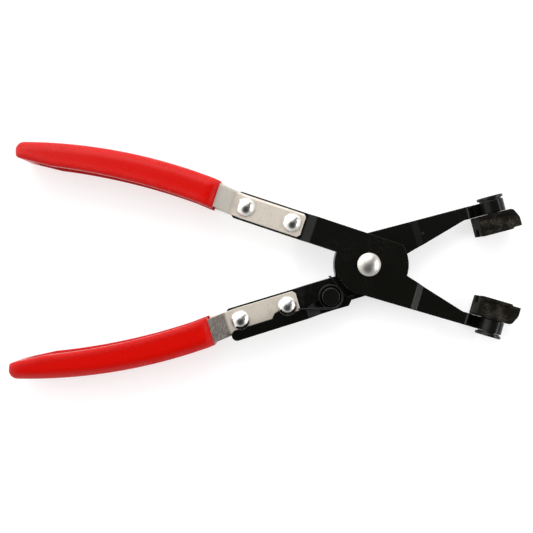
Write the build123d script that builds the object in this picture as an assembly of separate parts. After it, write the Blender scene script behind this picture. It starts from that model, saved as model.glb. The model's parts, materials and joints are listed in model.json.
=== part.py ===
from build123d import *
import math
import os

# Hose clamp pliers with swivelling jaws and a ratchet lock lever, in millimetres.
# The tool lies flat: the main pivot stands along Z, the jaws point to +X and the handles to -X.
# Everything is drawn round the pivot first. The rear arm runs from the lower handle to the upper
# jaw, and the front arm is the same pressing turned over about the X axis.

# Driving sizes of the two arm pressings
plate_thickness = 2.8
hub_gap = 0.1
hub_radius = 16.4
hub_shift = 1.2
handle_angle = 17.6
handle_offset = 6.9
tang_width = 12.2
tang_end_margin = 4.8
tang_corner_radius = 1.2
tang_bend_start = 29.0
tang_bend_length = 4.2
jaw_angle = 15.5
jaw_reach = 59.9
jaw_arm_root = 17.6
jaw_arm_bend_start = 23.0
jaw_arm_bend_length = 3.2
neck_length = 13.9
punch_mark_place = 26.9
punch_mark_offset = 7.6
punch_mark_depth = 0.3
punch_mark_radius = 0.8
pressing_bend_radius = 1.2

# Swivel eye, pin, washer and jaw block
pin_diameter = 5.0
pin_clearance = 0.05
eye_height = 5.5
eye_bend_start = 11.4
eye_bend_length = 2.9
eye_seam_angle = 262.0
jaw_gap = 0.15
washer_thickness = 0.55
washer_diameter = 9.4
washer_clearance = 0.05
pin_head_diameter = 11.2
pin_head_thickness = 1.4
jaw_height = 8.8
jaw_face_set = 0.8
jaw_heel = 9.0
jaw_nose = 9.3
jaw_depth = 12.0
jaw_nose_height = 3.4
jaw_nose_lean = 0.3
jaw_back_flat = 6.6
jaw_back_radius = 2.4
jaw_face_flat = 4.6
jaw_step = 0.6
jaw_nose_depth = 10.2
jaw_edge_radius = 0.7
jaw_slot_width = 4.0
jaw_slot_depth = 3.4
jaw_scoop_depth = 0.8
jaw_scoop_rim = 1.2
jaw_scoop_wall_angle = 45.0
pin_depth_in_jaw = 4.6

# Rivets
pivot_shank_diameter = 7.0
pivot_head_diameter = 10.3
pivot_head_height = 2.5
pivot_clearance = 0.04
handle_rivet_shank = 4.6
handle_rivet_head = 8.1
handle_rivet_height = 2.4
front_rivet_place = 39.0
rivet_spacing = 21.6
rivet_fit = 0.02

# Pressed handle channels
channel_wall = 1.5
channel_front = 34.0
lower_handle_shift = 0.6
upper_handle_shift = -1.1
channel_height = 10.8
channel_corner_cut = 1.2
flare_start = 66.3
flare_length = 11.0
flare_bend_radius = 6.0
channel_half_width = 7.5
channel_web_radius = 1.2
channel_web_inner_radius = 0.5
handle_rise_start = 62.0
handle_rise_end = 77.0
handle_rise = 1.1
bow_start = 82.0
bow_start_rise = 1.25
bow_radius = 232.0
bow_turn = 20.1
bow_height = 10.4
bow_middle_height = 9.9
bow_taper_share = 0.81
bow_taper_height = 8.4
tip_height = 4.8
tip_cut_share = 0.3

# Dipped grips
grip_skin = 1.0
grip_tip_skin = 2.2
grip_tip_radius = 3.9
grip_inner_tip_radius = 2.8
grip_web_radius = 3.4
grip_edge_radius = 0.9
grip_front = 74.2

# Ratchet on the front hub
ratchet_crest_radius = 14.6
ratchet_depth = 0.8
ratchet_pitch = 5.6
ratchet_wall_angle = -116.5
ratchet_teeth_closing = 5
ratchet_teeth_opening = 2
ratchet_floor_share = 0.3
ratchet_slope_share = 0.9
ratchet_run_in_angle = 18.0

# Lock lever, its stud and its spring
lever_thickness = 2.0
lever_clearance = 0.15
lever_throw_angle = 6.0
stud_place = 20.3
stud_offset = 8.5
stud_shank_diameter = 4.4
stud_head_diameter = 8.0
stud_head_height = 3.9
stud_edge_radius = 0.5
lever_hub_radius = 5.2
lever_ramp_start = 26.2
lever_ramp_length = 6.2
lever_flange_gap = 0.2
lever_tail_place = 64.4
lever_tail_offset = 12.95
lever_tail_radius = 2.35
lever_back_offset = 14.8
lever_inner_offset = 10.3
lever_ear_place = 47.6
lever_ear_slope = 1.7
lever_ear_offset = 8.0
lever_ear_radius = 0.9
lever_dome_clearance = 0.25
pawl_tip_clearance = 0.15
pawl_nose_place = 13.6
pawl_nose_offset = 14.9
pawl_shoulder = 1.6
spring_wire = 0.9
spring_mean_radius = 4.95
spring_pitch = 1.38
spring_full_turns = 2
spring_seat_gap = 0.15
spring_bend_radius = 1.2
spring_ear_leg_place = 35.0
spring_hook_place = 17.7
spring_edge_gap = 0.12
spring_hook_drop = 5.4
spring_ear_drop = 2.2

# Values that follow from the driving sizes
rear_rivet_place = front_rivet_place + rivet_spacing
tang_length = rear_rivet_place + tang_end_margin
overrun = 2 * plate_thickness
far = 2 * tang_length
half_plate = plate_thickness / 2
hub_centre_z = -(hub_gap / 2 + half_plate)
tang_inner = handle_offset - tang_width / 2
tang_outer = handle_offset + tang_width / 2
jaw_back = jaw_height - jaw_face_set
eye_inner = jaw_back + jaw_gap
eye_outer = eye_inner + eye_height
bore_radius = pin_diameter / 2 + pin_clearance
eye_middle_radius = bore_radius + half_plate
neck_place = jaw_reach - neck_length
channel_inner = handle_offset - channel_height / 2
channel_outer = handle_offset + channel_height / 2
channel_front_half = half_plate + channel_wall
ratchet_root_radius = ratchet_crest_radius - ratchet_depth
lever_bottom = -hub_gap / 2 + lever_clearance
lever_lift = channel_front_half + lever_flange_gap - lever_bottom
stud_head_base = lever_bottom + lever_thickness + lever_clearance

turned_over = Rot(180, 0, 0)
handle_turn = 180 + handle_angle
handle_frame = Rot(0, 0, handle_turn)
jaw_frame = Rot(0, 0, jaw_angle)


def polar(radius, angle):
    turn = math.radians(angle)
    return (radius * math.cos(turn), radius * math.sin(turn))


def turned_about(point, centre, angle):
    turn = math.radians(angle)
    dx = point[0] - centre[0]
    dy = point[1] - centre[1]
    x = centre[0] + dx * math.cos(turn) - dy * math.sin(turn)
    y = centre[1] + dx * math.sin(turn) + dy * math.cos(turn)
    return (x, y)


def polygon(points):
    return make_face(Polyline(*points, close=True))


def plan_prism(face):
    # A plan outline drawn up and down far enough for any plate or channel
    return extrude(face, amount=far, both=True)


def side_prism(face):
    # A side outline (length, height) carried sideways through the whole width
    return extrude(Plane.XZ * face, amount=far, both=True)


def half_plane(limit):
    # Everything on the inner side of a line at this distance from the pivot
    return Pos(0, limit - far / 2) * Rectangle(2 * far, far)


def corners_near(face, places):
    # The corners of a flat outline that lie nearest to the given places
    return [face.vertices().sort_by_distance(Vector(*place))[0] for place in places]


def rounded_corners(face, places, radius):
    return fillet(corners_near(face, places), radius)


def domed_rivet(shank_diameter, head_diameter, head_height, grip_low, grip_high):
    # Shank with a domed head at each end, turned about its own axis
    head_radius = head_diameter / 2
    rim = head_height / 4
    low_rim = (head_radius, grip_low - rim)
    high_rim = (head_radius, grip_high + rim)
    rise = head_height - rim
    dome_radius = (head_radius ** 2 + rise ** 2) / (2 * rise)
    side = Polyline(low_rim, (head_radius, grip_low), (shank_diameter / 2, grip_low),
                    (shank_diameter / 2, grip_high), (head_radius, grip_high), high_rim)
    top = RadiusArc(high_rim, (0, grip_high + head_height), -dome_radius)
    bottom = RadiusArc((0, grip_low - head_height), low_rim, -dome_radius)
    axis_line = Line((0, grip_high + head_height), (0, grip_low - head_height))
    section = Plane.XZ * make_face([*side.edges(), top, axis_line, bottom])
    return revolve(section, Axis.Z)


# Arm pressings
def hub_outline():
    # Round hub, trimmed in line with the outer edges of the tang and of the jaw arm
    circle = Pos(hub_shift, 0) * Circle(hub_radius)
    tang_side = handle_frame * half_plane(tang_outer)
    jaw_side = jaw_frame * half_plane(eye_outer)
    return circle & tang_side & jaw_side


def tang_outline():
    face = polygon([(0, tang_inner), (tang_length, tang_inner), (tang_length, tang_outer), (0, tang_outer)])
    return rounded_corners(face, [(tang_length, tang_inner), (tang_length, tang_outer)], tang_corner_radius)


def jaw_arm_outline():
    return polygon([(0, 0), (jaw_arm_root, 0), (neck_place, eye_inner),
                    (jaw_reach, eye_inner), (jaw_reach, eye_outer), (0, eye_outer)])


def stepped_side(start, length, end, step):
    # Side outline of a plate whose middle steps from the hub level to another level
    low = hub_centre_z - half_plate
    high = hub_centre_z + half_plate
    face = polygon([(0, low), (start, low), (start + length, step - half_plate), (end, step - half_plate),
                    (end, step + half_plate), (start + length, step + half_plate), (start, high), (0, high)])
    corners = [(start, low), (start, high), (start + length, step - half_plate),
               (start + length, step + half_plate)]
    return rounded_corners(face, corners, pressing_bend_radius)


def swivel_eye(curl_side):
    # The arm's end, bent to one face of the plate and rolled round the pin into an open eye
    level = -curl_side * eye_middle_radius
    start = (-neck_length, 0)
    bend_from = (-eye_bend_start, 0)
    bend_to = (-eye_bend_start + eye_bend_length, level)
    straight = FilletPolyline(start, bend_from, bend_to, (0, level), radius=eye_middle_radius / 2)
    seam_angle = curl_side * (eye_seam_angle - 90)
    middle_angle = curl_side * (eye_seam_angle / 2 - 90)
    seam = polar(eye_middle_radius, seam_angle)
    middle = polar(eye_middle_radius, middle_angle)
    roll = ThreePointArc((0, level), middle, seam)
    strip = trace(straight.edges() + roll.edges(), line_width=plate_thickness)
    bore = Circle(bore_radius)
    rolled = extrude(Plane.XZ * (strip - bore), amount=-eye_height)
    return Pos(jaw_reach, eye_inner, 0) * rolled


def arm_pressing(curl_side, handle_shift):
    hub = Pos(0, 0, hub_centre_z - half_plate) * extrude(hub_outline(), amount=plate_thickness)
    tang = plan_prism(tang_outline()) & side_prism(
        stepped_side(tang_bend_start, tang_bend_length, tang_length + overrun, 0))
    jaw_arm = plan_prism(jaw_arm_outline()) & side_prism(
        stepped_side(jaw_arm_bend_start, jaw_arm_bend_length, neck_place, 0))
    plate = hub + handle_frame * Pos(handle_shift, 0) * tang + jaw_frame * (jaw_arm + swivel_eye(curl_side))
    for place in (front_rivet_place, rear_rivet_place):
        hole = Cylinder(handle_rivet_shank / 2 + rivet_fit, far)
        plate -= handle_frame * Pos(place + handle_shift, handle_offset) * hole
    mark_level = half_plate + punch_mark_radius - punch_mark_depth
    mark = Pos(punch_mark_place, punch_mark_offset, mark_level) * Sphere(punch_mark_radius)
    return plate - jaw_frame * mark


def ratchet_cut():
    # Takes the hub's toothed sector down to the crest circle and cuts the tooth gaps
    first = ratchet_wall_angle - ratchet_pitch * ratchet_teeth_closing - ratchet_run_in_angle
    last = ratchet_wall_angle + ratchet_pitch * (ratchet_teeth_opening + 1)
    reach = 2 * hub_radius
    middle = (first + last) / 2
    sector = polygon([(0, 0), polar(reach, first), polar(reach, middle), polar(reach, last)])
    cut = sector - Circle(ratchet_crest_radius)
    for number in range(-ratchet_teeth_closing - 1, ratchet_teeth_opening + 1):
        wall = ratchet_wall_angle + ratchet_pitch * number
        floor_end = wall - ratchet_pitch * ratchet_floor_share
        slope_end = wall - ratchet_pitch * ratchet_slope_share
        cut += polygon([polar(ratchet_root_radius, wall), polar(reach, wall), polar(reach, slope_end),
                        polar(ratchet_crest_radius, slope_end), polar(ratchet_root_radius, floor_end)])
    return plan_prism(cut)


# Handle channels and grips, drawn in the lower handle's frame
bow_lean = math.degrees(math.atan2(bow_start_rise - handle_rise, bow_start - handle_rise_end))
grip_end_share = 1 + (grip_tip_skin - grip_skin) / math.radians(bow_turn) / bow_radius
bow_centre_x = bow_start + bow_radius * math.sin(math.radians(bow_lean))
bow_centre_y = channel_outer + bow_start_rise - bow_radius * math.cos(math.radians(bow_lean))


def bow_point(share, grow, depth):
    # Place on the bow, measured inwards from its outer edge after the skin has moved that edge
    end_turn = bow_turn + math.degrees(grow / bow_radius)
    x, y = polar(bow_radius + grow - depth, 90 + bow_lean - end_turn * share)
    return (bow_centre_x + x, bow_centre_y + y)


def outer_path(grow, front, end_share):
    # Outer edge of the handle from its front to the tip
    edge = channel_outer + grow
    straight = Polyline((front, edge), (handle_rise_start, edge), (handle_rise_end, edge + handle_rise),
                        bow_point(0, grow, 0))
    bow = ThreePointArc(*[bow_point(share, grow, 0) for share in (0, end_share / 2, end_share)])
    return [*straight.edges(), bow]


def inner_depths(grow):
    # Depth of the handle at the start, middle and taper of the bow and at the tip
    return [height + 2 * grow for height in (bow_height, bow_middle_height, bow_taper_height, tip_height)]


def inner_path(grow, front):
    # Free edge of the two flanges from the taper back to the front
    start, middle, taper, tip = inner_depths(grow)
    edge = channel_inner - grow
    bow_in = bow_point(0, grow, start)
    bow_middle = bow_point(bow_taper_share / 2, grow, middle)
    bow = ThreePointArc(bow_point(bow_taper_share, grow, taper), bow_middle, bow_in)
    straight = Polyline(bow_in, (handle_rise_start, edge), (front, edge), (front, channel_outer + grow))
    return [bow, *straight.edges()]


def channel_outline():
    # Closed side view of the pressed channel, with its corners cut
    taper_in = bow_point(bow_taper_share, 0, bow_taper_height)
    tip_out, tip_in = bow_point(1, 0, 0), bow_point(1, 0, tip_height)
    tip = Polyline(tip_out, tip_in, taper_in)
    face = make_face([*outer_path(0, channel_front, 1), *tip.edges(), *inner_path(0, channel_front)])
    front_corners = corners_near(face, [(channel_front, channel_inner), (channel_front, channel_outer)])
    face = chamfer(front_corners, channel_corner_cut)
    return chamfer(corners_near(face, [tip_out, tip_in]), tip_height * tip_cut_share)


def grip_end(depth):
    # Place on the grip's end, measured inwards from its outer edge
    return bow_point(grip_end_share, grip_skin, depth)


def grip_room():
    # Everything on the web's side of the grip's two free edges
    taper, tip = inner_depths(grip_skin)[2:]
    top = channel_outer + channel_height
    beyond = grip_end(-top)
    outside = Polyline((channel_front, channel_outer + grip_skin), (channel_front, top), (beyond[0], top),
                       beyond, grip_end(tip), bow_point(bow_taper_share, grip_skin, taper))
    face = make_face([*inner_path(grip_skin, channel_front), *outside.edges()])
    return rounded_corners(face, [grip_end(tip)], grip_inner_tip_radius)


def hollow_outline(grow, front):
    # The space inside the channel, open towards the other handle
    wall = -grow
    end_share = 1 - wall / math.radians(bow_turn) / bow_radius
    bow_end = bow_point(end_share, grow, 0)
    deep_end = bow_point(end_share, grow, 2 * bow_height)
    bow = ThreePointArc(bow_point(0, grow, 0), bow_point(end_share / 2, grow, 0), bow_end)
    straight = outer_path(grow, front, 1)[:-1]
    below = Polyline(bow_end, deep_end, (bow_start, channel_inner - 2 * bow_height),
                     (front, channel_inner - 2 * bow_height), (front, channel_outer + grow))
    return make_face([*straight, bow, *below.edges()])


def width_outline(front_half, rear_half):
    # Half widths seen from the open side, with the flare eased at both bends
    flare_end = flare_start + flare_length
    end = 2 * far
    face = polygon([(0, -front_half), (flare_start, -front_half), (flare_end, -rear_half), (end, -rear_half),
                    (end, rear_half), (flare_end, rear_half), (flare_start, front_half), (0, front_half)])
    corners = [(flare_start, -front_half), (flare_end, -rear_half),
               (flare_end, rear_half), (flare_start, front_half)]
    return rounded_corners(face, corners, flare_bend_radius)


def lies_outside(point, grow):
    # True on the outer edge of the handle
    slack = channel_wall / 4
    if point.X < bow_start:
        return point.Y > channel_outer + grow - slack
    reach = math.hypot(point.X - bow_centre_x, point.Y - bow_centre_y)
    return reach > bow_radius + grow - slack


def free_edges(solid, room):
    # Long edges of the flanges' free side up to the rounded tip
    slack = grip_skin / 8
    end = Line(grip_end(0), grip_end(bow_height))
    edges = []
    for edge in solid.edges():
        middle = edge @ (1 / 2)
        place = Vertex(middle.X, middle.Y, 0)
        along = abs((edge % (1 / 2)).Z) < 3 / 4 and middle.X > grip_front + slack
        on_side = any(side.distance_to(place) < slack for side in room.edges())
        if along and on_side and end.distance_to(place) > slack:
            edges.append(edge)
    return edges


def outer_edges(solid, grow):
    # Long edges between the web and the two flanges
    return [edge for edge in solid.edges()
            if abs((edge % (1 / 2)).Z) < 1 / 2 and lies_outside(edge @ (1 / 2), grow)]


def handle_channel():
    blank = plan_prism(channel_outline()) & side_prism(
        width_outline(channel_front_half, channel_half_width))
    blank = fillet(outer_edges(blank, 0), channel_web_radius)
    hollow = plan_prism(hollow_outline(-channel_wall, 0)) & side_prism(
        width_outline(half_plate, channel_half_width - channel_wall))
    hollow = fillet([edge for edge in outer_edges(hollow, -channel_wall) if (edge @ (1 / 2)).X > flare_start],
                    channel_web_inner_radius)
    opening = tang_length + lever_clearance
    web_opening = Pos(opening / 2, handle_offset, 0) * Box(opening, far, plate_thickness)
    channel = blank - hollow - web_opening
    for place in (front_rivet_place, rear_rivet_place):
        channel -= Pos(place, handle_offset) * Cylinder(handle_rivet_shank / 2 + rivet_fit, far)
    return channel


def grip_blank():
    # The dipped body before its inner side is cut, rounded along the web and round the tip
    tip_out, deep_end = grip_end(0), grip_end(2 * bow_height)
    low_edge = channel_inner - 2 * bow_height
    inside = Polyline(tip_out, deep_end, (bow_start, low_edge), (channel_front, low_edge),
                      (channel_front, channel_outer + grip_skin))
    face = make_face([*outer_path(grip_skin, channel_front, grip_end_share), *inside.edges()])
    face = rounded_corners(face, [tip_out], grip_tip_radius)
    blank = plan_prism(face) & side_prism(
        width_outline(channel_front_half + grip_skin, channel_half_width + grip_skin))
    blank &= Pos(grip_front + far / 2, 0, 0) * Box(far, 2 * far, far)
    return fillet(outer_edges(blank, grip_skin), grip_web_radius)


def handle_grip(channel):
    room = grip_room()
    skin = grip_blank() & plan_prism(room)
    skin = fillet(free_edges(skin, room), grip_edge_radius)
    groove_depth = channel_wall + grip_skin
    groove = plan_prism(hollow_outline(-groove_depth, 0)) & side_prism(
        width_outline(half_plate, channel_half_width - groove_depth))
    return skin - channel - groove


# Jaw blocks with their pins and washers, drawn in the jaw frame
def jaw_side_view():
    # Side view with a straight gripping face, a small step in front of it and a blunt nose
    heel = jaw_reach - jaw_heel
    face_end = jaw_reach + jaw_face_flat
    lip = jaw_step - jaw_face_set
    nose_low = (jaw_reach + jaw_nose, lip)
    nose_high = (jaw_reach + jaw_nose - jaw_nose_lean, jaw_nose_height)
    back_corner = (jaw_reach + jaw_back_flat, jaw_back)
    face = polygon([(heel, -jaw_face_set), (face_end, -jaw_face_set), (face_end + jaw_step, lip), nose_low,
                    nose_high, back_corner, (heel, jaw_back)])
    small_corners = [(heel, -jaw_face_set), (heel, jaw_back), nose_low, nose_high]
    face = rounded_corners(face, small_corners, jaw_edge_radius)
    return rounded_corners(face, [back_corner], jaw_back_radius)


def jaw_block():
    heel = jaw_reach - jaw_heel
    nose = jaw_reach + jaw_nose
    side_view = jaw_side_view()
    half_depth = jaw_depth / 2
    taper_start = jaw_reach + jaw_face_flat / 2
    top_view = polygon([(heel, -half_depth), (taper_start, -half_depth), (nose, -jaw_nose_depth / 2),
                        (nose, jaw_nose_depth / 2), (taper_start, half_depth), (heel, half_depth)])
    corners = [(heel, -half_depth), (heel, half_depth),
               (nose, -jaw_nose_depth / 2), (nose, jaw_nose_depth / 2)]
    top_view = rounded_corners(top_view, corners, 2 * jaw_edge_radius)
    block = plan_prism(side_view) & side_prism(top_view)
    slot_end = jaw_reach + jaw_face_flat / 2
    slot = Box(slot_end - heel + overrun, 2 * jaw_slot_depth, jaw_slot_width)
    block -= Pos((slot_end + heel - overrun) / 2, -jaw_face_set, 0) * slot
    slot_round = Rot(90, 0, 0) * Cylinder(jaw_slot_width / 2, 2 * jaw_slot_depth)
    block -= Pos(slot_end, -jaw_face_set, 0) * slot_round
    scoop = offset(side_view, -jaw_scoop_rim)
    scoop = Pos(0, 0, half_depth) * extrude(scoop, amount=-jaw_scoop_depth, taper=jaw_scoop_wall_angle)
    for side in (scoop, mirror(scoop, about=Plane.XY)):
        block -= side
    hole_bottom = jaw_back - pin_depth_in_jaw
    hole = upright(pin_diameter / 2 + rivet_fit, hole_bottom, jaw_back + overrun)
    return block - hole


def upright(radius, low, high):
    # Round bar along the swivel axis of the jaw, between two distances from the pivot's centre line
    return Pos(jaw_reach, (low + high) / 2, 0) * Rot(90, 0, 0) * Cylinder(radius, high - low)


def jaw_washer():
    low = eye_outer + washer_clearance
    high = low + washer_thickness
    return upright(washer_diameter / 2, low, high) - upright(bore_radius, low - overrun, high + overrun)


def jaw_pin():
    head_low = eye_outer + washer_clearance + washer_thickness
    head_high = head_low + pin_head_thickness
    shank = upright(pin_diameter / 2, jaw_back - pin_depth_in_jaw, head_low)
    head = upright(pin_head_diameter / 2, head_low, head_high)
    head = fillet(head.edges(), pin_head_thickness / 3)
    return shank + head


# Lock lever, its stud and its torsion spring, drawn in the lower handle's frame
stud_centre = (stud_place, stud_offset)


def released(point):
    # Moves a point of the lever from its engaged place to the released place shown
    return turned_about(point, stud_centre, -lever_throw_angle)


def lever_outline():
    wall = ratchet_wall_angle - handle_turn
    clear_turn = math.degrees(pawl_tip_clearance / ratchet_root_radius)
    tip_radius = ratchet_root_radius + pawl_tip_clearance
    tip_turn = ratchet_pitch * ratchet_floor_share / 2
    shoulder_radius = ratchet_crest_radius + pawl_shoulder
    tip_front = released(polar(tip_radius, wall - clear_turn))
    tip_back = released(polar(tip_radius, wall - clear_turn - tip_turn))
    front_root = released(polar(ratchet_crest_radius + pawl_shoulder / 4, wall - clear_turn / 2))
    back_root = released(polar(shoulder_radius, wall - ratchet_pitch * (1 + ratchet_floor_share)))
    pawl_side = (stud_place - lever_hub_radius / 2, stud_offset - lever_hub_radius / 2)
    outer_line = lever_tail_offset + lever_tail_radius
    inner_line = lever_tail_offset - lever_tail_radius
    bar = polygon([(lever_tail_place, outer_line), (stud_place, lever_back_offset),
                   (pawl_nose_place, pawl_nose_offset), front_root, tip_front, tip_back, back_root,
                   pawl_side, stud_centre, (lever_ramp_start, stud_offset),
                   (lever_ramp_start + lever_ramp_length, lever_inner_offset),
                   (lever_tail_place, inner_line)])
    dome_place = front_rivet_place + lower_handle_shift
    ear_knee = (lever_ear_place - lever_ear_slope, lever_ear_offset + lever_ear_slope / 4)
    ear_top = (lever_ear_place - 2 * lever_ear_slope, lever_ear_offset)
    ear = polygon([(lever_ear_place, lever_back_offset), (lever_ear_place, lever_inner_offset), ear_knee,
                   ear_top, (dome_place, lever_ear_offset), (dome_place, lever_back_offset)])
    ear = rounded_corners(ear, [ear_knee, ear_top], lever_ear_radius)
    tail = Pos(lever_tail_place, lever_tail_offset) * Circle(lever_tail_radius)
    hub = Pos(*stud_centre) * Circle(lever_hub_radius)
    domes = Sketch() + [Pos(place, handle_offset) * Circle(handle_rivet_head / 2 + lever_dome_clearance)
                        for place in (dome_place, dome_place + rivet_spacing)]
    hole = Pos(*stud_centre) * Circle(stud_shank_diameter / 2 + pin_clearance)
    return bar + ear + tail + hub - domes - hole


def lock_lever():
    low = lever_bottom
    high = lever_bottom + lever_thickness
    ramp_end = lever_ramp_start + lever_ramp_length
    side_view = polygon([(0, low), (lever_ramp_start, low), (ramp_end, low + lever_lift),
                         (far, low + lever_lift), (far, high + lever_lift), (ramp_end, high + lever_lift),
                         (lever_ramp_start, high), (0, high)])
    corners = [(lever_ramp_start, low), (lever_ramp_start, high), (ramp_end, low + lever_lift),
               (ramp_end, high + lever_lift)]
    side_view = rounded_corners(side_view, corners, pressing_bend_radius)
    return plan_prism(lever_outline()) & side_prism(side_view)


def lever_stud():
    # Shank riveted into the rear hub, with a drum above the lever for the spring
    back = hub_centre_z - half_plate
    drum_radius = stud_head_diameter / 2
    shank_radius = stud_shank_diameter / 2
    back_radius = shank_radius + stud_edge_radius * 2
    shank = Pos(0, 0, (back + stud_head_base) / 2) * Cylinder(shank_radius, stud_head_base - back)
    drum = Pos(0, 0, stud_head_base + stud_head_height / 2) * Cylinder(drum_radius, stud_head_height)
    drum = fillet(drum.edges().group_by(Axis.Z)[-1], stud_edge_radius)
    back_head = Pos(0, 0, back - stud_edge_radius / 2) * Cylinder(back_radius, stud_edge_radius)
    return Pos(stud_place, stud_offset, 0) * (shank + drum + back_head)


def tangent_turn(target, side):
    # Direction from the stud to the point where a straight leg to the target leaves the coil
    dx = target[0] - stud_place
    dy = target[1] - stud_offset
    spread = math.degrees(math.acos(spring_mean_radius / math.hypot(dx, dy)))
    return math.degrees(math.atan2(dy, dx)) + side * spread


def biarc(start, start_way, end, end_way):
    # Two arcs that leave and arrive in the given directions
    span = end - start
    total = start_way + end_way
    square = total.dot(total) - 4
    reach = (span.dot(total) - math.sqrt(span.dot(total) ** 2 - square * span.dot(span))) / square
    first = start + start_way * reach
    last = end - end_way * reach
    middle = (first + last) * (1 / 2)
    way = (last - first).normalized()
    return [Edge.make_tangent_arc(start, start_way, middle), Edge.make_tangent_arc(middle, way, end)]


def bent_leg(start, way, corner, turn_way, end):
    # Straight run, a tight bend and a second straight run
    bend_from = corner - way * spring_bend_radius
    bend_to = corner + turn_way * spring_bend_radius
    return [Edge.make_line(start, bend_from), Edge.make_tangent_arc(bend_from, way, bend_to),
            Edge.make_line(bend_to, end)]


def spring_path():
    # From the tip on the lever, round the stud, to the hook behind the rear arm's inner edge
    low_z = lever_bottom + lever_thickness + spring_seat_gap + spring_wire / 2
    ear_place = (spring_ear_leg_place, lever_inner_offset - spring_wire / 2 - spring_edge_gap)
    hook_place = (spring_hook_place, tang_inner - spring_wire / 2 - spring_edge_gap)
    start_turn = tangent_turn(ear_place, 1)
    end_turn = tangent_turn(hook_place, -1) + 360 * (spring_full_turns + 1)
    drop = spring_pitch * (end_turn - start_turn) / 360
    high_z = low_z + drop
    steps = math.ceil((end_turn - start_turn) / 90)

    def place(turn, height):
        x, y = polar(spring_mean_radius, turn)
        return Vector(stud_place + x, stud_offset + y, height)

    def way(turn, slope):
        x, y = polar(1, turn + 90)
        return Vector(x, y, slope).normalized()

    slope = -spring_pitch / (2 * math.pi * spring_mean_radius)
    turns = [start_turn + (end_turn - start_turn) * step / steps for step in range(steps + 1)]
    heights = [high_z - drop * step / steps for step in range(steps + 1)]
    slopes = [0, *[slope] * (steps - 1), 0]
    ends = [place(turn, height) for turn, height in zip(turns, heights)]
    ways = [way(turn, value) for turn, value in zip(turns, slopes)]
    down = Vector(0, 0, -1)
    ear_corner = Vector(*ear_place, high_z)
    hook_corner = Vector(*hook_place, low_z)
    ear_leg = bent_leg(ear_corner + down * spring_ear_drop, down * -1, ear_corner, ways[0], ends[0])
    hook_leg = bent_leg(ends[-1], ways[-1], hook_corner, down, hook_corner + down * spring_hook_drop)
    coil = []
    for step in range(steps):
        coil += biarc(ends[step], ways[step], ends[step + 1], ways[step + 1])
    return Wire([*ear_leg, *coil, *hook_leg])


def least_gap(path):
    # Smallest clear distance between turns, measured on points along the wire
    turn_length = 2 * math.pi * spring_mean_radius
    count = math.ceil(path.length / (spring_wire / 2))
    points = [path @ (number / count) for number in range(count + 1)]
    apart = math.ceil(turn_length / 2 / path.length * count)
    gaps = [(points[i] - points[j]).length for i in range(count + 1) for j in range(i + apart, count + 1)]
    return min(gaps) - spring_wire


def lever_spring():
    path = spring_path()
    print("least gap of the lever spring to itself:", round(least_gap(path), 3), "mm")
    section = Plane(origin=path @ 0, z_dir=path % 0) * Circle(spring_wire / 2)
    return sweep(section, path=path)


# Assembly
def build_nodes():
    stud_hole = handle_frame * Pos(stud_place, stud_offset) * Cylinder(stud_shank_diameter / 2 + rivet_fit, far)
    pivot_hole = Cylinder(pivot_shank_diameter / 2 + rivet_fit, far)
    pivot_running_hole = Cylinder(pivot_shank_diameter / 2 + pivot_clearance, far)
    channel = handle_channel()
    grip = handle_grip(channel)
    hub_face = hub_gap / 2 + plate_thickness
    pivot_rivet = domed_rivet(pivot_shank_diameter, pivot_head_diameter, pivot_head_height,
                              -hub_face, hub_face + pivot_clearance)
    handle_rivet = domed_rivet(handle_rivet_shank, handle_rivet_head, handle_rivet_height,
                               -channel_front_half, channel_front_half)
    front_arm = turned_over * arm_pressing(-1, upper_handle_shift)
    nodes = {
        "rear_arm_plate": arm_pressing(1, lower_handle_shift) - pivot_hole - stud_hole,
        "front_arm_plate": front_arm - pivot_running_hole - ratchet_cut(),
        "pivot_rivet": pivot_rivet,
        "lock_lever": handle_frame * lock_lever(),
        "lever_stud": handle_frame * lever_stud(),
        "lever_spring": handle_frame * lever_spring(),
    }
    sides = (("lower", Rot(0, 0, 0), lower_handle_shift), ("upper", turned_over, upper_handle_shift))
    for level, turn, shift in sides:
        frame = turn * handle_frame * Pos(shift, 0)
        nodes[level + "_handle_channel"] = frame * channel
        nodes[level + "_grip"] = frame * grip
        nodes[level + "_front_rivet"] = frame * Pos(front_rivet_place, handle_offset, 0) * handle_rivet
        nodes[level + "_rear_rivet"] = frame * Pos(rear_rivet_place, handle_offset, 0) * handle_rivet
    for level, turn in (("upper", Rot(0, 0, 0)), ("lower", turned_over)):
        frame = turn * jaw_frame
        nodes[level + "_jaw_block"] = frame * jaw_block()
        nodes[level + "_jaw_pin"] = frame * jaw_pin()
        nodes[level + "_jaw_washer"] = frame * jaw_washer()
    return nodes


def main():
    nodes = build_nodes()
    boxes = [shape.bounding_box() for shape in nodes.values()]
    low_x = min(box.min.X for box in boxes)
    high_x = max(box.max.X for box in boxes)
    low_y = min(box.min.Y for box in boxes)
    high_y = max(box.max.Y for box in boxes)
    low_z = min(box.min.Z for box in boxes)
    # The origin is the bottom centre of the whole tool
    pivot_place = Vector(-(low_x + high_x) / 2, -(low_y + high_y) / 2, -low_z)
    seat = Pos(pivot_place)
    print("pivot placed at", pivot_place, "length", high_x - low_x, "width", high_y - low_y)
    os.makedirs("parts", exist_ok=True)
    for name, shape in nodes.items():
        export_step(seat * shape.solid(), os.path.join("parts", name + ".step"))


main()
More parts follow.
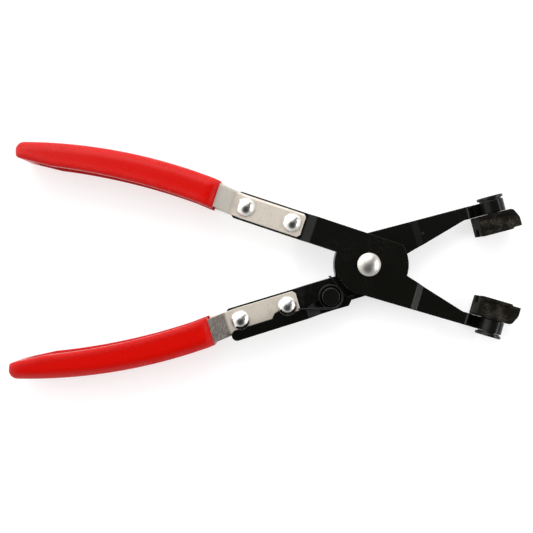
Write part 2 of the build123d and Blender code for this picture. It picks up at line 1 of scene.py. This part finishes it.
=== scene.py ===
import json
import math
import bpy
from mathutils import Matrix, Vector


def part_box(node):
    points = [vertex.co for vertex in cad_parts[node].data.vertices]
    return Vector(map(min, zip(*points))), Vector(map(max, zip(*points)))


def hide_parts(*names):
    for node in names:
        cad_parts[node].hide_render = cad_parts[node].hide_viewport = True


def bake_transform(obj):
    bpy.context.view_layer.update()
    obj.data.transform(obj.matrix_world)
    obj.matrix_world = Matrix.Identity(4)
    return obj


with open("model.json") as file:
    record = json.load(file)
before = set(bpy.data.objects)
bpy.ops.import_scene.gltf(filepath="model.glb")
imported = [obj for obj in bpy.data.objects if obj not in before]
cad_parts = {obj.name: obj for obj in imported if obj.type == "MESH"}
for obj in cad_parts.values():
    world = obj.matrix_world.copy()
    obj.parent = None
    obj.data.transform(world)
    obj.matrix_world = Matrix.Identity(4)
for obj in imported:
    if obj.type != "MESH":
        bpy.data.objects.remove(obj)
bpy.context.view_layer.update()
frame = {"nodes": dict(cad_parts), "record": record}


def middle(box):
    low, high = box
    return [(first + second) / 2 for first, second in zip(low, high)]


# The main rivet, round which the camera is placed
pivot_x, pivot_y, pivot_z = middle(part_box("pivot_rivet"))


# Tools for building shader nodes
def open_group(name, inputs, outputs):
    group = bpy.data.node_groups.new(name, "ShaderNodeTree")
    for label, value in inputs:
        socket = group.interface.new_socket(name=label, in_out="INPUT", socket_type="NodeSocketFloat")
        socket.default_value = value
    for label in outputs:
        group.interface.new_socket(name=label, in_out="OUTPUT", socket_type="NodeSocketFloat")
    return group, group.nodes.new("NodeGroupInput"), group.nodes.new("NodeGroupOutput")


def use_group(tree, group, **values):
    node = tree.nodes.new("ShaderNodeGroup")
    node.node_tree = group
    for label, value in values.items():
        node.inputs[label].default_value = value
    return node.outputs[0]


def plug(tree, value, socket):
    # A plain value is set on the socket, and another node's output is linked to it
    if isinstance(value, tuple):
        socket.default_value = (*value, 1.0)
    elif isinstance(value, (int, float)):
        socket.default_value = value
    else:
        tree.links.new(value, socket)


def maths(tree, operation, first, second):
    node = tree.nodes.new("ShaderNodeMath")
    node.operation = operation
    plug(tree, first, node.inputs[0])
    plug(tree, second, node.inputs[1])
    return node.outputs[0]


def smooth_step(tree, value, start, end):
    node = tree.nodes.new("ShaderNodeMapRange")
    node.interpolation_type = "SMOOTHSTEP"
    node.inputs["From Min"].default_value = start
    node.inputs["From Max"].default_value = end
    plug(tree, value, node.inputs["Value"])
    return node.outputs["Result"]


def blend_colour(tree, mask, first, second):
    node = tree.nodes.new("ShaderNodeMix")
    node.data_type = "RGBA"
    plug(tree, mask, node.inputs["Factor"])
    for name, value in (("A", first), ("B", second)):
        socket = [item for item in node.inputs if item.name == name and item.type == "RGBA"][0]
        plug(tree, value, socket)
    return [item for item in node.outputs if item.type == "RGBA"][0]


def rounded_normal(tree, radius, rays):
    node = tree.nodes.new("ShaderNodeBevel")
    node.samples = rays
    plug(tree, radius, node.inputs["Radius"])
    return node.outputs["Normal"]


def noise(tree, scale, detail, roughness=0.5, stretch=None):
    # Solid noise on Object coordinates, which are metres in the tool's own frame
    coordinates = tree.nodes.new("ShaderNodeTexCoord")
    texture = tree.nodes.new("ShaderNodeTexNoise")
    plug(tree, scale, texture.inputs["Scale"])
    texture.inputs["Detail"].default_value = detail
    texture.inputs["Roughness"].default_value = roughness
    vector = coordinates.outputs["Object"]
    if stretch:
        stretched = tree.nodes.new("ShaderNodeMapping")
        stretched.vector_type = "TEXTURE"
        stretched.inputs["Scale"].default_value = stretch
        tree.links.new(vector, stretched.inputs["Vector"])
        vector = stretched.outputs["Vector"]
    tree.links.new(vector, texture.inputs["Vector"])
    return texture.outputs["Fac"]


# Shader node groups shared by the finishes
def edge_wear_group():
    # Mask of rubbed corners: where a rounded normal departs from the true one, broken up by noise
    corner_rays = 6
    wear_start, wear_full = 0.02, 0.22
    flake_scale, flake_detail = 900.0, 3.0
    flake_start, flake_full = 0.38, 0.62
    group, given, result = open_group("edge_wear", [("Radius", 0.0004), ("Amount", 1.0)], ["Mask"])
    truth = group.nodes.new("ShaderNodeNewGeometry")
    agreement = group.nodes.new("ShaderNodeVectorMath")
    agreement.operation = "DOT_PRODUCT"
    group.links.new(rounded_normal(group, given.outputs["Radius"], corner_rays), agreement.inputs[0])
    group.links.new(truth.outputs["Normal"], agreement.inputs[1])
    departure = maths(group, "SUBTRACT", 1.0, agreement.outputs["Value"])
    corner = smooth_step(group, departure, wear_start, wear_full)
    flakes = smooth_step(group, noise(group, flake_scale, flake_detail), flake_start, flake_full)
    mask = maths(group, "MULTIPLY", corner, flakes)
    mask = maths(group, "MULTIPLY", mask, given.outputs["Amount"])
    group.links.new(mask, result.inputs["Mask"])
    return group


def scuffs_group():
    # Cloudy handling marks: broad patches with a finer break-up
    broad_detail, broad_start, broad_full = 2.0, 0.42, 0.68
    fine_ratio, fine_detail, fine_start, fine_full = 9.0, 4.0, 0.35, 0.75
    group, given, result = open_group("scuffs", [("Scale", 60.0), ("Amount", 1.0)], ["Mask"])
    broad = noise(group, given.outputs["Scale"], broad_detail)
    fine = noise(group, maths(group, "MULTIPLY", given.outputs["Scale"], fine_ratio), fine_detail)
    mask = maths(group, "MULTIPLY", smooth_step(group, broad, broad_start, broad_full),
                 smooth_step(group, fine, fine_start, fine_full))
    mask = maths(group, "MULTIPLY", mask, given.outputs["Amount"])
    group.links.new(mask, result.inputs["Mask"])
    return group


def grain_group():
    # Fine even grain with a slow wave in it, used as a height
    grain_detail = 3.0
    wave_ratio, wave_detail = 0.06, 1.0
    group, given, result = open_group("fine_grain", [("Scale", 2500.0), ("Wave", 0.3)], ["Height"])
    grain = noise(group, given.outputs["Scale"], grain_detail)
    wave = noise(group, maths(group, "MULTIPLY", given.outputs["Scale"], wave_ratio), wave_detail)
    height = maths(group, "ADD", grain, maths(group, "MULTIPLY", wave, given.outputs["Wave"]))
    group.links.new(height, result.inputs["Height"])
    return group


def streaks_and_slope_shade_group():
    # Painted shade on the slope where the channel faces right and runs down to the grip, broken into
    # streaks across the handle like the plate's real mottling
    slope_start, slope_full = 0.12, 0.33
    streak_scale, streak_detail, streak_roughness = 1300.0, 5.0, 0.6
    streak_stretch = (0.6, 2.0, 1.0)
    streak_start, streak_full = -0.15, 0.6
    group, given, result = open_group("streaks_and_slope_shade", [("Amount", 1.0)], ["Mask"])
    surface = group.nodes.new("ShaderNodeTexCoord")
    facing = group.nodes.new("ShaderNodeSeparateXYZ")
    group.links.new(surface.outputs["Normal"], facing.inputs[0])
    slope = smooth_step(group, facing.outputs["X"], slope_start, slope_full)
    streaks = noise(group, streak_scale, streak_detail, streak_roughness, streak_stretch)
    streaks = smooth_step(group, streaks, streak_start, streak_full)
    mask = maths(group, "MULTIPLY", slope, streaks)
    mask = maths(group, "MULTIPLY", mask, given.outputs["Amount"])
    group.links.new(mask, result.inputs["Mask"])
    return group


edge_wear = edge_wear_group()
scuffs = scuffs_group()
fine_grain = grain_group()
streaks_and_slope_shade = streaks_and_slope_shade_group()

# Finishes: lengths in metres, noise scales in grains to the metre
soft_edge_rays = 10
wear_polish = 0.3


def finish(name, colour, spots, roughness, rough_span, metallic, grain_scale, grain_wave, grain_depth,
           scuff_scale, specular=0.5, soft_edge=0.0, wear_radius=0.0, wear_amount=0.0, worn_colour=None,
           slope_shade_amount=0.0, slope_shade_colour=None):
    # Colour broken by cloudy marks, roughness that follows them, rubbed corners and a grain as bump
    material = bpy.data.materials.new(name)
    material.use_nodes = True
    tree = material.node_tree
    shader = tree.nodes["Principled BSDF"]
    marks = use_group(tree, scuffs, Scale=scuff_scale, Amount=1.0)
    base = blend_colour(tree, marks, colour, spots)
    rough = maths(tree, "ADD", roughness, maths(tree, "MULTIPLY", marks, rough_span))
    if slope_shade_amount:
        # Slopes facing right get painted shade, broken into streaks like the plate's real mottling
        slope_shade = use_group(tree, streaks_and_slope_shade, Amount=slope_shade_amount)
        base = blend_colour(tree, slope_shade, base, slope_shade_colour)
    if wear_amount:
        # A rubbed corner is smoother than the finish beside it
        rubbed = use_group(tree, edge_wear, Radius=wear_radius, Amount=wear_amount)
        base = blend_colour(tree, rubbed, base, worn_colour)
        rough = maths(tree, "SUBTRACT", rough, maths(tree, "MULTIPLY", rubbed, roughness * wear_polish))
    tree.links.new(base, shader.inputs["Base Color"])
    tree.links.new(rough, shader.inputs["Roughness"])
    shader.inputs["Metallic"].default_value = metallic
    shader.inputs["Specular IOR Level"].default_value = specular
    bump = tree.nodes.new("ShaderNodeBump")
    bump.inputs["Distance"].default_value = grain_depth
    bump.inputs["Strength"].default_value = 1.0
    grain = use_group(tree, fine_grain, Scale=grain_scale, Wave=grain_wave)
    tree.links.new(grain, bump.inputs["Height"])
    if soft_edge:
        # Corners of pressed, cast and dipped pieces catch the light as if slightly rounded
        tree.links.new(rounded_normal(tree, soft_edge, soft_edge_rays), bump.inputs["Normal"])
    tree.links.new(bump.outputs["Normal"], shader.inputs["Normal"])
    return material


red_vinyl = finish(
    "red_dipped_vinyl", colour=(0.56, 0.0028, 0.0008), spots=(0.51, 0.0022, 0.0006),
    roughness=0.27, rough_span=0.1, metallic=0.0, specular=0.17, soft_edge=0.004,
    grain_scale=900.0, grain_wave=3.0, grain_depth=0.00001, scuff_scale=30.0)
black_plate = finish(
    "black_oxide_plate", colour=(0.0036, 0.0036, 0.0028), spots=(0.0054, 0.0053, 0.0042),
    roughness=0.22, rough_span=0.1, metallic=0.0, specular=0.15, soft_edge=0.0006,
    grain_scale=2600.0, grain_wave=1.2, grain_depth=0.00001, scuff_scale=70.0,
    wear_radius=0.0005, wear_amount=0.8, worn_colour=(0.03, 0.029, 0.026))
black_jaw = finish(
    "black_cast_jaw", colour=(0.0065, 0.0061, 0.0048), spots=(0.06, 0.051, 0.041),
    roughness=0.5, rough_span=0.15, metallic=0.0, specular=0.02, soft_edge=0.0006,
    grain_scale=1000.0, grain_wave=2.2, grain_depth=0.00016, scuff_scale=230.0,
    wear_radius=0.0004, wear_amount=0.8, worn_colour=(0.055, 0.048, 0.04))
black_lever = finish(
    "black_lever_steel", colour=(0.0022, 0.0022, 0.0018), spots=(0.0036, 0.0036, 0.0031),
    roughness=0.30, rough_span=0.12, metallic=0.0, specular=0.08, soft_edge=0.0005,
    grain_scale=2600.0, grain_wave=1.2, grain_depth=0.000012, scuff_scale=90.0,
    wear_radius=0.0004, wear_amount=0.8, worn_colour=(0.028, 0.027, 0.025))
black_stud = finish(
    "black_turned_steel", colour=(0.0026, 0.0026, 0.0022), spots=(0.0042, 0.0042, 0.0036),
    roughness=0.24, rough_span=0.12, metallic=0.0, specular=0.3, soft_edge=0.0003,
    grain_scale=3000.0, grain_wave=0.6, grain_depth=0.00001, scuff_scale=120.0,
    wear_radius=0.0003, wear_amount=0.7, worn_colour=(0.04, 0.038, 0.035))
spring_wire = finish(
    "dark_spring_wire", colour=(0.003, 0.003, 0.0027), spots=(0.006, 0.006, 0.0055),
    roughness=0.24, rough_span=0.15, metallic=0.0, specular=0.2,
    grain_scale=4000.0, grain_wave=0.5, grain_depth=0.000008, scuff_scale=260.0)
dome_steel = finish(
    "bright_dome_steel", colour=(0.74, 0.72, 0.69), spots=(0.64, 0.62, 0.59),
    roughness=0.23, rough_span=0.08, metallic=1.0,
    grain_scale=2200.0, grain_wave=1.0, grain_depth=0.000008, scuff_scale=240.0)
satin_steel = finish(
    "satin_pivot_steel", colour=(0.55, 0.53, 0.50), spots=(0.47, 0.45, 0.42),
    roughness=0.36, rough_span=0.1, metallic=1.0,
    grain_scale=1500.0, grain_wave=1.0, grain_depth=0.000012, scuff_scale=240.0)
washer_steel = finish(
    "black_washer_steel", colour=(0.005, 0.005, 0.0045), spots=(0.009, 0.009, 0.008),
    roughness=0.26, rough_span=0.15, metallic=0.0, specular=0.3,
    grain_scale=2600.0, grain_wave=0.8, grain_depth=0.00001, scuff_scale=240.0)

# Both channels have the same warm nickel plate; each slope is painted darker in streaks, painted shade
# mixed with the plate's real mottling, and the lower channel's slope carries much deeper painted shade
nickel = dict(
    colour=(0.67, 0.605, 0.52), spots=(0.53, 0.49, 0.43),
    roughness=0.4, rough_span=0.12, metallic=0.35, soft_edge=0.0004,
    grain_scale=2000.0, grain_wave=0.9, grain_depth=0.00002, scuff_scale=140.0,
    wear_radius=0.0004, wear_amount=0.7, worn_colour=(0.8, 0.77, 0.72))
satin_nickel = finish("satin_nickel_plate", slope_shade_amount=0.6, slope_shade_colour=(0.34, 0.33, 0.30), **nickel)
slope_shade_nickel = finish("slope_shade_nickel_plate", slope_shade_amount=0.95, slope_shade_colour=(0.09, 0.08, 0.07), **nickel)

finishes = {
    "black_plate": black_plate,
    "black_jaw": black_jaw,
    "black_lever": black_lever,
    "black_stud": black_stud,
    "spring_steel": spring_wire,
    "rivet_steel": dome_steel,
    "washer_steel": washer_steel,
    "silver_handle": satin_nickel,
    "red_grip": red_vinyl,
}
own_finish = {"pivot_rivet": satin_steel, "lower_handle_channel": slope_shade_nickel}
slot_names = {part["node"]: part["material_slot"] for part in frame["record"]["subparts"]}
for node, piece in frame["nodes"].items():
    for slot in piece.material_slots:
        slot.material = own_finish.get(node, finishes[slot_names[node]])

# The wound spring is drawn from a copy of its CAD wire, welded where points double and shaded smooth up
# to a corner angle, in place of the CAD piece. On the real tool its long leg turns with the lock lever,
# while its coil and its hook stay on the rear arm.
weld_distance = 0.000001
wire_corner = math.radians(35.0)
wire = frame["nodes"]["lever_spring"]
spring = bpy.data.objects.new("wound_lever_spring", wire.data.copy())
spring.data.transform(wire.matrix_world)
bpy.context.scene.collection.objects.link(spring)
bpy.ops.object.select_all(action="DESELECT")
spring.select_set(True)
bpy.context.view_layer.objects.active = spring
bpy.ops.mesh.customdata_custom_splitnormals_clear()
bpy.ops.object.mode_set(mode="EDIT")
bpy.ops.mesh.select_all(action="SELECT")
bpy.ops.mesh.remove_doubles(threshold=weld_distance)
bpy.ops.object.mode_set(mode="OBJECT")
bpy.ops.object.shade_smooth_by_angle(angle=wire_corner)
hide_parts("lever_spring")
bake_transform(spring)

# Plain pale floor, a hair below the tool so that no face of the tool lies in it
floor_half = 4.0
floor_drop = 0.0001
floor_colour = (0.5, 0.5, 0.5, 1.0)
floor_glow_colour = (1.0, 1.0, 1.0, 1.0)
floor_glow = 0.6
floor_roughness = 0.9
bpy.ops.object.select_all(action="DESELECT")
bpy.ops.mesh.primitive_plane_add(size=2 * floor_half, location=(0.0, 0.0, -floor_drop))
floor = bpy.context.object
floor.name = "floor"
floor_finish = bpy.data.materials.new("pale_floor")
floor_finish.use_nodes = True
floor_shader = floor_finish.node_tree.nodes["Principled BSDF"]
floor_shader.inputs["Base Color"].default_value = floor_colour
floor_shader.inputs["Emission Color"].default_value = floor_glow_colour
floor_shader.inputs["Emission Strength"].default_value = floor_glow
floor_shader.inputs["Roughness"].default_value = floor_roughness
floor_shader.inputs["Specular IOR Level"].default_value = 0.0
floor.data.materials.append(floor_finish)

# Light tent: white all round, with a dark patch overhead where the camera looks in
tent = bpy.data.worlds.new("light_tent")
bpy.context.scene.world = tent
tent.use_nodes = True
sky = tent.node_tree
backdrop = sky.nodes["Background"]
direction = sky.nodes.new("ShaderNodeTexCoord")


def nearness(way):
    # How closely a place on the tent lies to the given way out from the tool
    node = sky.nodes.new("ShaderNodeVectorMath")
    node.operation = "DOT_PRODUCT"
    node.inputs[1].default_value = way
    sky.links.new(direction.outputs["Generated"], node.inputs[0])
    return node.outputs["Value"]


# The dark patch leans towards the lower handle, so the upper grip catches more light
patch_lean = math.radians(22.0)
patch_edge = 0.71
patch_levels = ((0.80, 0.6), (0.86, 0.12), (0.90, 0.03))
white = (1.0, 1.0, 1.0, 1.0)
tent_colour = sky.nodes.new("ShaderNodeValToRGB")
ramp = tent_colour.color_ramp
ramp.elements[0].position = 0.0
ramp.elements[0].color = white
ramp.elements[1].position = patch_edge
ramp.elements[1].color = white
for position, level in patch_levels:
    stop = ramp.elements.new(position)
    stop.color = (level, level, level, 1.0)
patch = nearness((0.0, -math.sin(patch_lean), math.cos(patch_lean)))
sky.links.new(patch, tent_colour.inputs["Fac"])
sky.links.new(tent_colour.outputs["Color"], backdrop.inputs["Color"])

# The tent is brightest behind the upper handle and to the left, and dimmest on the right
tent_slope = (-0.3, 0.55, 0.0)
tent_middle = 1.35
tent_level = maths(sky, "ADD", nearness(tent_slope), tent_middle)

# A flag to the right keeps the handles' flares from shining
flag_way = (0.60, 0.35, 0.72)
flag_start, flag_full = 0.78, 0.96
flag_depth = 0.85
shade = maths(sky, "MULTIPLY", smooth_step(sky, nearness(flag_way), flag_start, flag_full), -flag_depth)
tent_level = maths(sky, "MULTIPLY", tent_level, maths(sky, "ADD", shade, 1.0))
sky.links.new(tent_level, backdrop.inputs["Strength"])

# Seen directly, the tent is one even pale tone, whichever way the tool is viewed
plain_tone = (0.95, 0.95, 0.95, 1.0)
plain = sky.nodes.new("ShaderNodeBackground")
plain.inputs["Color"].default_value = plain_tone
ray = sky.nodes.new("ShaderNodeLightPath")
either = sky.nodes.new("ShaderNodeMixShader")
sky.links.new(ray.outputs["Is Camera Ray"], either.inputs["Fac"])
sky.links.new(backdrop.outputs["Background"], either.inputs[1])
sky.links.new(plain.outputs["Background"], either.inputs[2])
sky.links.new(either.outputs["Shader"], sky.nodes["World Output"].inputs["Surface"])


def softbox(name, place, aim, width, height, power):
    light = bpy.data.lights.new(name, "AREA")
    light.shape = "RECTANGLE"
    light.size = width
    light.size_y = height
    light.energy = power
    lamp = bpy.data.objects.new(name, light)
    bpy.context.scene.collection.objects.link(lamp)
    lamp.location = place
    way = [end - start for start, end in zip(place, aim)]
    level_way = math.hypot(way[0], way[1])
    lamp.rotation_euler = (math.atan2(level_way, -way[2]), 0.0, math.atan2(-way[0], way[1]))


# Softboxes behind the upper handle, over the grips' ends and beyond the jaws
tool_middle = (0.0, 0.0, 0.0)
jaws = (0.1, 0.0, 0.0)
softbox("back_softbox", place=(-0.05, 0.7, 0.6), aim=tool_middle, width=0.9, height=0.35, power=3.0)
softbox("left_softbox", place=(-0.7, 0.2, 0.55), aim=tool_middle, width=0.35, height=0.7, power=0.9)
softbox("right_softbox", place=(0.66, 0.0, 0.42), aim=jaws, width=0.7, height=0.08, power=2.3)

# Camera straight above the tool, in millimetres from the main rivet's centre
millimetre = 0.001
eye_right, eye_up = -45.07, -1.48
eye_height = 270.0
view_width = 237.2
sensor_width = 36.0
near_clip = 0.01
roll = math.radians(0.8)
lens = bpy.data.cameras.new("photo_camera")
lens.sensor_fit = "HORIZONTAL"
lens.sensor_width = sensor_width
lens.lens = sensor_width * eye_height / view_width
lens.clip_start = near_clip
camera = bpy.data.objects.new("photo_camera", lens)
bpy.context.scene.collection.objects.link(camera)
camera.location = (pivot_x + eye_right * millimetre, pivot_y + eye_up * millimetre,
                   pivot_z + eye_height * millimetre)
camera.rotation_euler = (0.0, 0.0, roll)
bpy.context.scene.camera = camera
bpy.context.scene.view_settings.view_transform = "Standard"
